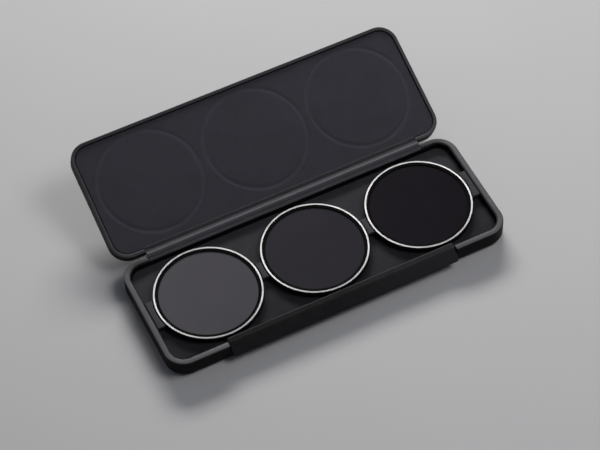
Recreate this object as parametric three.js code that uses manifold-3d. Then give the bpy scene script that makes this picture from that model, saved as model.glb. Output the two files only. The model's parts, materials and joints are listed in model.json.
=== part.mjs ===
// A slim hard case for three round lens filters, lying open.
//
// Millimetres. The origin is the centre of the case's underside, +X runs along the row of filters,
// +Y points from the flap to the hinge, and +Z is up.
//
// The lid and the flap are drawn closed, then each is turned about its own hinge line to the
// position in which the open case rests.

import * as THREE from 'three';
import { mergeVertices } from 'three/addons/utils/BufferGeometryUtils.js';
import Module from 'manifold-3d';

// ---------------------------------------------------------------------------------------------
// Driving dimensions
// ---------------------------------------------------------------------------------------------

// Filters: 67 mm thread class
const FILTER_COUNT = 3;
const FILTER_PITCH = 74;
const FILTER_RADIUS = 35; // outside of the ring
const RING_HEIGHT = 4.3; // from the seating shoulder to the top edge
const THREAD_RADIUS = 33.4; // male thread below the shoulder
const THREAD_LENGTH = 1.9;
const RING_BORE = 33; // bore in which the retaining ring sits
const CLEAR_RADIUS = 31.3; // free radius seen through the filter
const GLASS_RADIUS = 32.2;
const GLASS_THICKNESS = 1.5;
const SEAT_DROP = 2.45; // from the top edge down to the lip that carries the glass
const RETAINER_DROP = 0.3; // from the top edge down to the retaining ring
const EDGE_CHAMFER = 0.4;

// Base
const CASE_LENGTH = 235;
const CASE_DEPTH = 85.6;
const CASE_CORNER = 13.5;
const RIM_Z = 13; // top of the rim above the table
const WALL = 4.4;
const FLOOR = 1.8;
const BOTTOM_ROUND = 3.2;
const TRIM = 0.9; // thickness of the pale band on top of the wall

// Tray
const DECK_DROP = 4.4; // from the rim down to the deck
const POCKET_DEPTH = 2.8;
const POCKET_RADIUS = 34;
const PAD_THICKNESS = 0.5;
const POST_DROP = 0.4; // from the rim down to the tops of the posts
const POST_WIDTH = 12.4; // along Y, between two filters
const END_POST_WIDTH = 21;
const POST_REACH = 8.8; // along X, before the round sides are cut

// Lid
const LID_LENGTH = 232.6;
const LID_DEPTH = 82.3;
const LID_CORNER = 12.5;
const LID_HEIGHT = 9;
const LID_WALL = 2.5;
const LID_TOP = 2;
const LID_ROUND = 2.6;
const LID_OPEN = 159; // degrees from closed, at rest

// Lid layers, from the shell inwards
const BOARD_THICKNESS = 1.5;
const FOAM_THICKNESS = 3.9;
const LINING_THICKNESS = 0.6;
const LINING_GROOVE = 1.1; // open groove between the lid's rim and the lining

// Hinge strap
const STRAP_LENGTH = 193;
const STRAP_THICKNESS = 0.7;
const STRAP_ROLL = 0.9; // radius of the fold around the hinge line
const HINGE_OUT = 1.25; // hinge line behind the back walls
const HINGE_UP = 0.12; // hinge line above the rim

// Flap
const FLAP_LENGTH = 156.6;
const FLAP_HEIGHT = 8.3;
const FLAP_THICKNESS = 1.6;
const FLAP_SKIN = 0.35;
const FLAP_OPEN = 128; // degrees from closed, at rest
const FLAP_IN = 3.1; // hinge line behind the case's front face
const FLAP_ROOT = 1.1; // from the hinge line to the flap's near edge
const FLAP_OFFSET = 0.1; // closed flap's inner face in front of the hinge line
const FOLD_THICKNESS = 0.8;
const LEDGE_BACK = 0.95; // wall left standing behind the ledge
const TUCK_REACH = 2.4; // how far the fold stands inside the front wall
const TUCK_DROP = 3.9;
const TUCK_ROUND = 1.1;

// Closure magnets
const MAGNET_LENGTH = 20;
const MAGNET_HEIGHT = 3.4;
const MAGNET_THICKNESS = 1;
const MAGNET_X = 45;
const MAGNET_RAISE = 3; // above the lower edge of the lid

// Clearances
const SLIP = 0.1; // between layers glued or laid on each other
const REST_GAP = 0.25; // between the closed lid and the rim
const SWING_GAP = 0.3; // between pieces that swing past each other
const TRAY_GAP = 0.25; // between the tray and the walls
const POST_GAP = 0.3; // between a post and a ring

const CORNER_SEGMENTS = 8;
const ROUND_SEGMENTS = 48;
const BEVEL_SEGMENTS = 3;

// Planes that several pieces share
const WALL_TOP = RIM_Z - TRIM;
const DECK_Z = RIM_Z - DECK_DROP;
const BACK_Y = CASE_DEPTH / 2;
const FRONT_Y = -CASE_DEPTH / 2;
const INNER_LENGTH = CASE_LENGTH - 2 * WALL;
const INNER_DEPTH = CASE_DEPTH - 2 * WALL;
const INNER_CORNER = CASE_CORNER - WALL;
const HINGE = new THREE.Vector3(0, BACK_Y + HINGE_OUT, RIM_Z + HINGE_UP);
const FLAP_HINGE = new THREE.Vector3(0, FRONT_Y + FLAP_IN, WALL_TOP + FOLD_THICKNESS / 2);
const LID_Z = RIM_Z + REST_GAP;
const LID_CENTRE_Y = BACK_Y - LID_DEPTH / 2;
const FILTER_X = Array.from(
  { length: FILTER_COUNT },
  (_, i) => (i - (FILTER_COUNT - 1) / 2) * FILTER_PITCH,
);

// ---------------------------------------------------------------------------------------------
// Solids
// ---------------------------------------------------------------------------------------------

const wasm = await Module();
wasm.setup();

// A closed three.js geometry as a solid that can be joined and cut.
function toSolid(geometry) {
  geometry.deleteAttribute('normal');
  geometry.deleteAttribute('uv');
  const merged = mergeVertices(geometry, 1e-4);
  const index = merged.index.array;
  const triangles = [];
  for (let i = 0; i < index.length; i += 3) {
    const [a, b, c] = index.slice(i, i + 3);
    if (a !== b && b !== c && c !== a) triangles.push(a, b, c);
  }
  const mesh = new wasm.Mesh({
    numProp: 3,
    vertProperties: new Float32Array(merged.attributes.position.array),
    triVerts: new Uint32Array(triangles),
  });
  return new wasm.Manifold(mesh);
}

function toGeometry(solid) {
  const mesh = solid.getMesh();
  const geometry = new THREE.BufferGeometry();
  geometry.setAttribute('position', new THREE.BufferAttribute(new Float32Array(mesh.vertProperties), 3));
  geometry.setIndex(new THREE.BufferAttribute(new Uint32Array(mesh.triVerts), 1));
  geometry.computeVertexNormals();
  return geometry;
}

// A rectangle with round corners, centred on (0, centreY).
function roundedRectangle(length, depth, radius, centreY = 0) {
  const x = length / 2 - radius;
  const y = depth / 2 - radius;
  const shape = new THREE.Shape();
  shape.absarc(x, centreY + y, radius, 0, Math.PI / 2);
  shape.absarc(-x, centreY + y, radius, Math.PI / 2, Math.PI);
  shape.absarc(-x, centreY - y, radius, Math.PI, 1.5 * Math.PI);
  shape.absarc(x, centreY - y, radius, 1.5 * Math.PI, 2 * Math.PI);
  return shape;
}

// An upright prism between two heights.
function prism(shape, low, high) {
  const geometry = new THREE.ExtrudeGeometry(shape, {
    depth: high - low,
    bevelEnabled: false,
    curveSegments: CORNER_SEGMENTS,
  });
  geometry.translate(0, 0, low);
  return toSolid(geometry);
}

// An upright prism whose two ends are rounded over.
function pillow(shape, low, high, round) {
  const geometry = new THREE.ExtrudeGeometry(shape, {
    depth: high - low - 2 * round,
    bevelThickness: round,
    bevelSize: round,
    bevelOffset: -round,
    bevelSegments: BEVEL_SEGMENTS,
    curveSegments: CORNER_SEGMENTS,
  });
  geometry.translate(0, 0, low + round);
  return toSolid(geometry);
}

// A box given by its low and high limits on each axis.
function box([x0, x1], [y0, y1], [z0, z1]) {
  const geometry = new THREE.BoxGeometry(x1 - x0, y1 - y0, z1 - z0);
  geometry.translate((x0 + x1) / 2, (y0 + y1) / 2, (z0 + z1) / 2);
  return toSolid(geometry);
}

// A solid of revolution about the vertical through (x, 0). The outline is [radius, z] pairs, up the
// outside and down the inside, and closes on itself or on the axis.
function turned(outline, x = 0) {
  const points = outline.map(([radius, z]) => new THREE.Vector2(radius, z));
  const geometry = new THREE.LatheGeometry(points, ROUND_SEGMENTS);
  geometry.rotateX(Math.PI / 2);
  geometry.translate(x, 0, 0);
  return toSolid(geometry);
}

function disc(radius, low, high, x = 0) {
  return turned([[0, low], [radius, low], [radius, high], [0, high]], x);
}

// A prism along X whose cross-section is given in Y and Z, centred on x = 0.
function bar(section, length) {
  const geometry = new THREE.ExtrudeGeometry(section, {
    depth: length,
    bevelEnabled: false,
    curveSegments: CORNER_SEGMENTS,
  });
  // the section's x and y become Y and Z, and the extrusion runs along X
  geometry.applyMatrix4(new THREE.Matrix4().set(0, 0, 1, -length / 2, 1, 0, 0, 0, 0, 1, 0, 0, 0, 0, 0, 1));
  return toSolid(geometry);
}

const alongX = (length) => [-length / 2, length / 2];

// ---------------------------------------------------------------------------------------------
// Materials
// ---------------------------------------------------------------------------------------------

const finish = (color, roughness, metalness = 0) =>
  new THREE.MeshStandardMaterial({ color, roughness, metalness });

const SHELL = finish(0x17171a, 0.55);
const TRIM_BAND = finish(0x6f6f73, 0.5);
const TRAY = finish(0x3c3c40, 0.85);
const FELT = finish(0x2a2a2d, 0.95);
const STRAP = finish(0x35343a, 0.75);
const LINING = finish(0x34333a, 0.9);
const FOAM = finish(0x2c2c30, 0.95);
const BOARD = finish(0x4a4744, 0.9);
const LEATHERETTE = finish(0x222225, 0.6);
const MAGNET = finish(0x9a9da1, 0.3, 1);
const RING = finish(0x141416, 0.45, 1);
const RETAINER = finish(0x0d0d0f, 0.6, 1);
const GLASS_TINTS = [0x4a484c, 0x2b292d, 0x18161a]; // from the lightest filter to the densest

function place(name, solid, material, group) {
  const mesh = new THREE.Mesh(toGeometry(solid), material);
  mesh.name = name;
  group.add(mesh);
}

// A group that is drawn closed and turned about the X-parallel hinge line.
function hinged(hinge, degrees) {
  const pivot = new THREE.Group();
  pivot.position.copy(hinge);
  pivot.rotation.x = THREE.MathUtils.degToRad(degrees);
  const contents = new THREE.Group();
  contents.position.copy(hinge).negate();
  pivot.add(contents);
  return { pivot, contents };
}

// ---------------------------------------------------------------------------------------------
// Base
// ---------------------------------------------------------------------------------------------

function baseShell() {
  const outside = roundedRectangle(CASE_LENGTH, CASE_DEPTH, CASE_CORNER);
  const inside = roundedRectangle(INNER_LENGTH, INNER_DEPTH, INNER_CORNER);
  const block = pillow(outside, 0, WALL_TOP + 2 * BOTTOM_ROUND, BOTTOM_ROUND);
  const above = box(alongX(2 * CASE_LENGTH), [-CASE_DEPTH, CASE_DEPTH], [WALL_TOP, 2 * RIM_Z]);
  return block.subtract(above).subtract(prism(inside, FLOOR, 2 * RIM_Z)).subtract(flapLedge());
}

// The room cut from the front wall for the open flap, which lies along its sloping floor.
function flapLedge() {
  const droop = THREE.MathUtils.degToRad(FLAP_OPEN - 90);
  const below = FLAP_OFFSET + FLAP_THICKNESS + SWING_GAP / 2; // under the hinge line, square to the slope
  const back = FRONT_Y + WALL - LEDGE_BACK;
  const middle = FLAP_HINGE.z - below / Math.cos(droop);
  const floorAt = (y) => middle + (y - FLAP_HINGE.y) * Math.tan(droop);
  const section = new THREE.Shape();
  section.moveTo(back, 2 * RIM_Z);
  section.lineTo(-CASE_DEPTH, 2 * RIM_Z);
  section.lineTo(-CASE_DEPTH, floorAt(-CASE_DEPTH));
  section.lineTo(back, floorAt(back));
  return bar(section, FLAP_LENGTH + 4 * SWING_GAP);
}

// The pale band on the wall, left open at the front for the flap and at the back for the strap.
function rimTrim(side) {
  const outside = roundedRectangle(CASE_LENGTH, CASE_DEPTH, CASE_CORNER);
  outside.holes.push(roundedRectangle(INNER_LENGTH, INNER_DEPTH, INNER_CORNER));
  const band = prism(outside, WALL_TOP, RIM_Z);
  const flapGap = box(alongX(FLAP_LENGTH + 4 * SWING_GAP), [-CASE_DEPTH, 0], [0, 2 * RIM_Z]);
  const strapGap = box(alongX(STRAP_LENGTH + 2 * SWING_GAP), [0, CASE_DEPTH], [0, 2 * RIM_Z]);
  const reach = side < 0 ? [-CASE_LENGTH, 0] : [0, CASE_LENGTH];
  const half = box(reach, [-CASE_DEPTH, CASE_DEPTH], [0, 2 * RIM_Z]);
  return band.subtract(flapGap).subtract(strapGap).intersect(half);
}

// Posts stand beside each filter at its left and right, and are hollowed to its round side.
function posts() {
  const top = RIM_Z - POST_DROP;
  const inner = INNER_LENGTH / 2 - TRAY_GAP;
  const ends = [-1, 1].map((side) => {
    const limits = side < 0 ? [-inner, -inner + POST_REACH] : [inner - POST_REACH, inner];
    return box(limits, [-END_POST_WIDTH / 2, END_POST_WIDTH / 2], [FLOOR + SLIP, top]);
  });
  const necks = FILTER_X.slice(1).map((x) => {
    const middle = x - FILTER_PITCH / 2;
    const reach = [middle - POST_REACH / 2, middle + POST_REACH / 2];
    return box(reach, [-POST_WIDTH / 2, POST_WIDTH / 2], [FLOOR + SLIP, top]);
  });
  const solid = [...ends, ...necks].reduce((joined, post) => joined.add(post));
  return FILTER_X.reduce((cut, x) => cut.subtract(disc(FILTER_RADIUS + POST_GAP, DECK_Z, RIM_Z, x)), solid);
}

function trayInsert() {
  const outline = roundedRectangle(
    INNER_LENGTH - 2 * TRAY_GAP,
    INNER_DEPTH - 2 * TRAY_GAP,
    INNER_CORNER - TRAY_GAP,
  );
  const block = prism(outline, FLOOR + SLIP, DECK_Z).add(posts());
  const pocket = (x) => disc(POCKET_RADIUS, DECK_Z - POCKET_DEPTH, RIM_Z, x);
  return FILTER_X.reduce((cut, x) => cut.subtract(pocket(x)), block);
}

function pocketPad(x) {
  const low = DECK_Z - POCKET_DEPTH + SLIP;
  return disc(POCKET_RADIUS - 2 * SWING_GAP, low, low + PAD_THICKNESS, x);
}

// The strap's leaf on the base: it lies on the back wall and ends in the fold on the hinge line.
function strapBaseLeaf() {
  const top = RIM_Z - SLIP;
  const section = new THREE.Shape();
  section.moveTo(BACK_Y - WALL, top - STRAP_THICKNESS);
  section.lineTo(HINGE.y, top - STRAP_THICKNESS);
  section.lineTo(HINGE.y, top);
  section.lineTo(BACK_Y - WALL, top);
  const fold = new THREE.Shape();
  fold.absarc(HINGE.y, HINGE.z, STRAP_ROLL, 0, 2 * Math.PI);
  return bar(section, STRAP_LENGTH).add(bar(fold, STRAP_LENGTH));
}

// The flap's fold: tucked inside the front wall, over its edge, and rounded on the flap's hinge line.
function flapFold() {
  const inner = FRONT_Y + WALL;
  const top = WALL_TOP + FOLD_THICKNESS;
  const section = new THREE.Shape();
  section.moveTo(FLAP_HINGE.y, WALL_TOP);
  section.lineTo(inner + SLIP, WALL_TOP);
  section.lineTo(inner + SLIP, RIM_Z - TUCK_DROP);
  section.lineTo(inner + TUCK_REACH, RIM_Z - TUCK_DROP);
  section.absarc(inner + TUCK_REACH - TUCK_ROUND, top - TUCK_ROUND, TUCK_ROUND, 0, Math.PI / 2);
  section.lineTo(FLAP_HINGE.y, top);
  section.absarc(FLAP_HINGE.y, FLAP_HINGE.z, FOLD_THICKNESS / 2, Math.PI / 2, 1.5 * Math.PI);
  return bar(section, FLAP_LENGTH);
}

function buildBase(group) {
  place('base_shell', baseShell(), SHELL, group);
  place('rim_trim_left', rimTrim(-1), TRIM_BAND, group);
  place('rim_trim_right', rimTrim(1), TRIM_BAND, group);
  place('tray_insert', trayInsert(), TRAY, group);
  FILTER_X.forEach((x, i) => place(`pocket_pad_${i + 1}`, pocketPad(x), FELT, group));
  place('hinge_strap_base_leaf', strapBaseLeaf(), STRAP, group);
  place('flap_fold', flapFold(), LEATHERETTE, group);
}

// ---------------------------------------------------------------------------------------------
// Lid, drawn closed
// ---------------------------------------------------------------------------------------------

const lidInside = (shrink) =>
  roundedRectangle(
    LID_LENGTH - 2 * (LID_WALL + shrink),
    LID_DEPTH - 2 * (LID_WALL + shrink),
    LID_CORNER - LID_WALL - shrink,
    LID_CENTRE_Y,
  );

const magnetSpan = (side) => [side * MAGNET_X - MAGNET_LENGTH / 2, side * MAGNET_X + MAGNET_LENGTH / 2];

// Magnets lie in slots cut from inside into the lid's front wall.
const LID_INNER_FRONT_Y = BACK_Y - LID_DEPTH + LID_WALL;
const LID_MAGNET_Y = [LID_INNER_FRONT_Y - 2 * SLIP - MAGNET_THICKNESS, LID_INNER_FRONT_Y - 2 * SLIP];
const MAGNET_Z = [LID_Z + MAGNET_RAISE, LID_Z + MAGNET_RAISE + MAGNET_HEIGHT];

const grown = ([low, high], by) => [low - by, high + by];

function lidShell() {
  const outside = roundedRectangle(LID_LENGTH, LID_DEPTH, LID_CORNER, LID_CENTRE_Y);
  const block = pillow(outside, LID_Z - 2 * LID_ROUND, LID_Z + LID_HEIGHT, LID_ROUND);
  const below = box(alongX(2 * LID_LENGTH), [-CASE_DEPTH, CASE_DEPTH], [0, LID_Z]);
  const cavity = prism(lidInside(0), 0, LID_Z + LID_HEIGHT - LID_TOP);
  const strapRecess = box(
    alongX(STRAP_LENGTH + 2 * SWING_GAP),
    [BACK_Y - LID_WALL - SLIP, BACK_Y + WALL],
    [0, LID_Z + STRAP_THICKNESS + SLIP],
  );
  const slots = [-1, 1].map((side) => box(
    grown(magnetSpan(side), SLIP),
    [LID_MAGNET_Y[0] - SLIP, LID_MAGNET_Y[1] + LID_WALL],
    grown(MAGNET_Z, SLIP),
  ));
  return [below, cavity, strapRecess, ...slots].reduce((cut, tool) => cut.subtract(tool), block);
}

function lidMagnet(side) {
  return box(magnetSpan(side), LID_MAGNET_Y, MAGNET_Z);
}

// The strap's leaf on the lid lies in a recess in the lid's back rim.
function strapLidLeaf() {
  return box(alongX(STRAP_LENGTH), [BACK_Y - LID_WALL, BACK_Y], [LID_Z, LID_Z + STRAP_THICKNESS]);
}

function buildLid(group) {
  const boardTop = LID_Z + LID_HEIGHT - LID_TOP - SLIP;
  const boardLow = boardTop - BOARD_THICKNESS;
  const foamTop = boardLow - SLIP;
  const foamLow = foamTop - FOAM_THICKNESS;
  const liningTop = foamLow - SLIP;
  place('lid_shell', lidShell(), SHELL, group);
  place('lid_board', prism(lidInside(SLIP), boardLow, boardTop), BOARD, group);
  place('lid_foam', prism(lidInside(SWING_GAP), foamLow, foamTop), FOAM, group);
  const liningLow = liningTop - LINING_THICKNESS;
  place('lid_lining', prism(lidInside(LINING_GROOVE), liningLow, liningTop), LINING, group);
  place('lid_magnet_left', lidMagnet(-1), MAGNET, group);
  place('lid_magnet_right', lidMagnet(1), MAGNET, group);
  place('hinge_strap_lid_leaf', strapLidLeaf(), STRAP, group);
}

// ---------------------------------------------------------------------------------------------
// Flap, drawn closed: upright above the front wall, in front of the lid
// ---------------------------------------------------------------------------------------------

const FLAP_INNER_Y = FLAP_HINGE.y - FLAP_OFFSET;
const FLAP_Y = [FLAP_INNER_Y - FLAP_THICKNESS, FLAP_INNER_Y]; // outer and inner face
const FLAP_Z = [FLAP_HINGE.z + FLAP_ROOT, FLAP_HINGE.z + FLAP_ROOT + FLAP_HEIGHT];
const FLAP_BOARD_Y = [FLAP_Y[0] + FLAP_SKIN + SLIP, FLAP_Y[1] - FLAP_SKIN - SLIP];

// The skin is the outer face with its four turned edges.
function flapSkin() {
  const block = box(alongX(FLAP_LENGTH), FLAP_Y, FLAP_Z);
  const inside = box(
    alongX(FLAP_LENGTH - 2 * FLAP_SKIN),
    [FLAP_Y[0] + FLAP_SKIN, FLAP_Y[1] + WALL],
    [FLAP_Z[0] + FLAP_SKIN, FLAP_Z[1] - FLAP_SKIN],
  );
  return block.subtract(inside);
}

function flapBoard() {
  const inset = FLAP_SKIN + SLIP;
  const board = box(
    alongX(FLAP_LENGTH - 2 * inset),
    FLAP_BOARD_Y,
    [FLAP_Z[0] + inset, FLAP_Z[1] - inset],
  );
  const slots = [-1, 1].map((side) => box(
    grown(magnetSpan(side), SLIP),
    grown(FLAP_BOARD_Y, WALL),
    grown(MAGNET_Z, SLIP),
  ));
  return slots.reduce((cut, slot) => cut.subtract(slot), board);
}

function flapLining() {
  const inset = FLAP_SKIN + SLIP;
  return box(
    alongX(FLAP_LENGTH - 2 * inset),
    [FLAP_BOARD_Y[1] + SLIP, FLAP_Y[1]],
    [FLAP_Z[0] + inset, FLAP_Z[1] - inset],
  );
}

function buildFlap(group) {
  place('flap_skin', flapSkin(), LEATHERETTE, group);
  place('flap_board', flapBoard(), BOARD, group);
  place('flap_lining', flapLining(), LEATHERETTE, group);
  const magnet = (side) => box(magnetSpan(side), FLAP_BOARD_Y, MAGNET_Z);
  place('flap_magnet_left', magnet(-1), MAGNET, group);
  place('flap_magnet_right', magnet(1), MAGNET, group);
}

// ---------------------------------------------------------------------------------------------
// Filters
// ---------------------------------------------------------------------------------------------

const SHOULDER_Z = RIM_Z - RING_HEIGHT; // sits just above the deck
const SEAT_Z = RIM_Z - SEAT_DROP;
const GLASS_TOP = SEAT_Z + SLIP / 2 + GLASS_THICKNESS;

function filterRing(x) {
  return turned([
    [RING_BORE, GLASS_TOP],
    [GLASS_RADIUS + SLIP, GLASS_TOP],
    [GLASS_RADIUS + SLIP, SEAT_Z],
    [CLEAR_RADIUS, SEAT_Z],
    [CLEAR_RADIUS, SHOULDER_Z - THREAD_LENGTH],
    [THREAD_RADIUS, SHOULDER_Z - THREAD_LENGTH],
    [THREAD_RADIUS, SHOULDER_Z],
    [FILTER_RADIUS, SHOULDER_Z],
    [FILTER_RADIUS, RIM_Z - EDGE_CHAMFER],
    [FILTER_RADIUS - EDGE_CHAMFER, RIM_Z],
    [RING_BORE, RIM_Z],
    [RING_BORE, GLASS_TOP],
  ], x);
}

function filterGlass(x) {
  const low = SEAT_Z + SLIP / 2;
  return disc(GLASS_RADIUS, low, GLASS_TOP, x);
}

// The retaining ring screws into the bore above the glass.
function filterRetainer(x) {
  const low = GLASS_TOP + SLIP / 2;
  const high = RIM_Z - RETAINER_DROP;
  const outer = RING_BORE - SLIP;
  return turned([
    [CLEAR_RADIUS, low],
    [outer, low],
    [outer, high],
    [CLEAR_RADIUS, high],
    [CLEAR_RADIUS, low],
  ], x);
}

function buildFilter(number, x, group) {
  const tint = GLASS_TINTS[number - 1];
  place(`filter_${number}_ring`, filterRing(x), RING, group);
  place(`filter_${number}_glass`, filterGlass(x), finish(tint, 0.08), group);
  place(`filter_${number}_retainer`, filterRetainer(x), RETAINER, group);
}

// ---------------------------------------------------------------------------------------------
// Assembly
// ---------------------------------------------------------------------------------------------

const filterCase = new THREE.Group();
buildBase(filterCase);

const lid = hinged(HINGE, -LID_OPEN);
buildLid(lid.contents);
filterCase.add(lid.pivot);

const flap = hinged(FLAP_HINGE, FLAP_OPEN);
buildFlap(flap.contents);
filterCase.add(flap.pivot);

FILTER_X.forEach((x, i) => buildFilter(i + 1, x, filterCase));

filterCase.updateMatrixWorld(true);

export default filterCase;
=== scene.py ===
"""The visual model of a slim hard case for three round lens filters, lying open."""

import json
import math

import bmesh
import bpy
from mathutils import Matrix, Vector, noise


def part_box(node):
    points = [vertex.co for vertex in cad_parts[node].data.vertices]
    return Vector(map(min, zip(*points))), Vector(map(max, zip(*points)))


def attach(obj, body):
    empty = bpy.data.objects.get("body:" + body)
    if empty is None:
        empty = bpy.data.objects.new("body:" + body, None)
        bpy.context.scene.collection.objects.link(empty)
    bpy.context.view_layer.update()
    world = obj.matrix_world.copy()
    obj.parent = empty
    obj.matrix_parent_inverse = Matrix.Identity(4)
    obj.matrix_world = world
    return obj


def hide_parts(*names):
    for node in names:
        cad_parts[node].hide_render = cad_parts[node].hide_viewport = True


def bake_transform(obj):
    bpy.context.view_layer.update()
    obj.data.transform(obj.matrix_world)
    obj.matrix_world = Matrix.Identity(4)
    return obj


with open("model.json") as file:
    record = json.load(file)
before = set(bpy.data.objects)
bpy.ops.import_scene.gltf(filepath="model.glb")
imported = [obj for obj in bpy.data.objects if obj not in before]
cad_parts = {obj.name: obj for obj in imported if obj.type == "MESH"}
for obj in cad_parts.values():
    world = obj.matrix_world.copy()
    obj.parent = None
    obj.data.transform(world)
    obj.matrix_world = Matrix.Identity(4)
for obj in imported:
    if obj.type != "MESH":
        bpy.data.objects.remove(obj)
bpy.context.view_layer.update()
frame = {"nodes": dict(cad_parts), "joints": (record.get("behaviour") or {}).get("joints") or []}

# ---- Dimensions, in millimetres. Places and outer sizes come from the frame.

MM = 0.001
FILTERS = (1, 2, 3)

CASE_CORNER = 13.5
WALL = 4.4
BOTTOM_ROUND = 3.2
BOTTOM_FLAT = 8  # the underside is closed this far inside its round edge
WALL_EDGE = 0.3  # rounding of the shell's upper edges
FLOOR_FILLET = 1.0
FLOOR = 1.8
LEDGE_BACK = 0.95  # the open flap's ledge stops this far short of the wall's inside
LEDGE_CLEARANCE = 0.15
LEDGE_END_GAP = 0.6

TRIM_ROUND_OUT = 0.85
TRIM_ROUND_IN = 0.35
TRIM_STEP_WIDTH = 0.75  # a lower, darker step along the band's inner edge
TRIM_STEP_DROP = 0.4
TRIM_STEP_CHAMFER = 0.15
TRIM_TURN = 5  # degrees between the band's sections round a corner
TRIM_ENDS = ((0.0, 0.35), (0.12, 0.16), (0.4, 0.0))  # (distance from the end, pull to the middle)

DECK_DROP = 4.4
TRAY_CORNER = 8.85
DECK_EDGE = 0.5
POCKET_RADIUS = 34.0
POCKET_FLOOR = 5.8
POCKET_FLOOR_EDGE = 0.05
POCKET_OVERLAP = 0.6  # the pocket's floor reaches this far under the deck
POST_HALF = 6.2
END_POST_HALF = 10.5
POST_RADIUS = 35.3
POST_EDGE = 0.55
POST_FOOT = 1.0  # the posts start this far below the deck
PAD_EDGE = 0.2
PAD_CROWN = 0.02  # the felt pads rise this much towards their middle

LID_CORNER = 12.5
LID_WALL = 2.5
LID_TOP = 2.0
LID_ROUND = 2.6
LID_FLAT = 7  # the outside is closed this far inside its round edge
LID_EDGE = 0.55
STRAP_RECESS_GAP = 0.15

LINING_SPREAD = 0.85  # the fabric fills the groove beside the lid's rim by this much
LINING_CORNER = 8.9 + LINING_SPREAD
LINING_ROUND = 0.75
LINING_CROWN = 0.34
LINING_WAVE = 0.05
LINING_GAP = 0.05  # between the padding and the board behind it
LINING_STEP = 0.85
BORDER_STEPS = (0.0, 0.1, 0.28, 0.52, 0.85, 1.3, 1.9)
MARK_RADIUS = 33.9  # the round marks that the filters leave in the lining
MARK_WIDTH = 1.9
MARK_DEPTH = 0.2
CROWN_CELLS = (90, 34)
CLOTH_FRAMES = 26
CLOTH_SIZE = 10.0  # the simulated sheet is this many units long
CLOTH = {
    "quality": 6, "mass": 0.4, "tension_stiffness": 18, "compression_stiffness": 14,
    "bending_stiffness": 3, "use_pressure": True, "uniform_pressure_force": 1.6,
    "shrink_min": -0.012,
}

STRAP_THICKNESS = 0.7
STRAP_STEP = 1.6
STRAP_END_STEPS = (0.0, 0.12, 0.35, 0.8)
BEAD_FRONT = 0.75  # the bead's crown lies this far in front of the hinge line
BEAD_HALF = 1.4
BEAD_HEIGHT = 1.05
BEAD_WAVE = 0.06
BEAD_HIGHLIGHT_FRONT = 1.35  # the painted highlight is centred this far in front of the hinge line
BEAD_HIGHLIGHT_HALF = 1.5

FLAP_CORNER = 1.6
FLAP_PRESS = 1.15  # a pressed line this far inside the flap's edges
FLAP_PRESS_WIDTH = 0.45
FLAP_PRESS_DEPTH = 0.09
FLAP_BULGE = 0.07
FLAP_SAG = 0.28  # how far the flap's left end has dropped
FLAP_SAG_FROM = 0.72  # share of the half length at which that drop begins
FLAP_STEP = 1.3
FLAP_END_STEPS = (0.0, 0.08, 0.25, 0.5, 0.85, 1.25, 1.7, 2.3)
FOLD_ROLL = 0.95
CREASE_DROP = 0.62
TUCK_OVERLAP = 0.1

THREAD_PITCH = 0.75
MALE_INSET = 1.6
MALE_DEPTH = 0.34
MALE_ROWS = 16
BORE_INSET = 2.0
BORE_DEPTH = 0.3
BORE_THREAD = 0.45
BORE_ROWS = 6
CLEAR_INSET = 3.7
SEAT_LIP = 1.0  # width of the seat under the glass
SEAT_GAP = 0.05
SMALL_CHAMFER = 0.1
OUTER_CHAMFER = 0.42
KNURLS = 96
KNURL_DEPTH = 0.22
KNURL_SLOPE = 1.6
RETAINER_WIDTH = 1.6
NOTCH_WIDTH = 3.0
NOTCH_DEPTH = 0.35
NOTCH_SIDE = 0.012  # radians that a notch's side takes to reach its full depth
GLASS_CHAMFER = 0.15

RING_SEGMENTS = 576
GLASS_SEGMENTS = 256
PAD_SEGMENTS = 96
POCKET_SEGMENTS = 192
CORNER_STEPS = 20
POST_STEPS = 14
WELD = 0.0005  # points closer together than this become one
SMOOTH = math.radians(38)


def box(node):
    """Lowest and highest corner of a CAD node at rest."""
    low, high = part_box(node)
    return low / MM, high / MM


JOINTS = {joint["name"]: joint for joint in frame["joints"]}


def opening(joint_name):
    """The turn that takes a closed body to where it rests, in metres."""
    joint = JOINTS[joint_name]
    pivot = Matrix.Translation(Vector(joint["pos_m"]))
    turn = Matrix.Rotation(-math.radians(joint["range_deg"][0]), 4, Vector(joint["axis"]))
    return pivot @ turn @ pivot.inverted()


def closed_box(node, opened):
    """Lowest and highest corner of a CAD node with its body closed."""
    back = opened.inverted()
    points = [back @ vertex.co / MM for vertex in frame["nodes"][node].data.vertices]
    low = Vector(min(point[axis] for point in points) for axis in range(3))
    high = Vector(max(point[axis] for point in points) for axis in range(3))
    return low, high


LID_OPENED = opening("lid_hinge")
HINGE = Vector(JOINTS["lid_hinge"]["pos_m"]) / MM
FLAP_HINGE = Vector(JOINTS["flap_hinge"]["pos_m"]) / MM
DROOP = math.radians(-JOINTS["flap_hinge"]["range_deg"][0] - 90)

SHELL_LOW, SHELL_HIGH = box("base_shell")
TRIM_LOW, TRIM_HIGH = box("rim_trim_left")
RIM_Z = TRIM_HIGH.z
DECK_Z = RIM_Z - DECK_DROP
TRAY_LOW, TRAY_HIGH = box("tray_insert")
FOLD_LOW, FOLD_HIGH = box("flap_fold")
STRAP_LOW, STRAP_HIGH = box("hinge_strap_base_leaf")
LID_LOW, LID_HIGH = closed_box("lid_shell", LID_OPENED)
LINING_LOW, LINING_HIGH = closed_box("lid_lining", LID_OPENED)
LEAF_LOW, LEAF_HIGH = closed_box("hinge_strap_lid_leaf", LID_OPENED)
FLAP_LOW, FLAP_HIGH = closed_box("flap_skin", opening("flap_hinge"))
BOARD_Z = closed_box("lid_board", LID_OPENED)[0].z
FILTER_X = {number: sum(end.x for end in box(f"filter_{number}_ring")) / 2 for number in FILTERS}


# ---- Shapes: a shape is a list of points and a list of faces -------------------------------------

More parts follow.
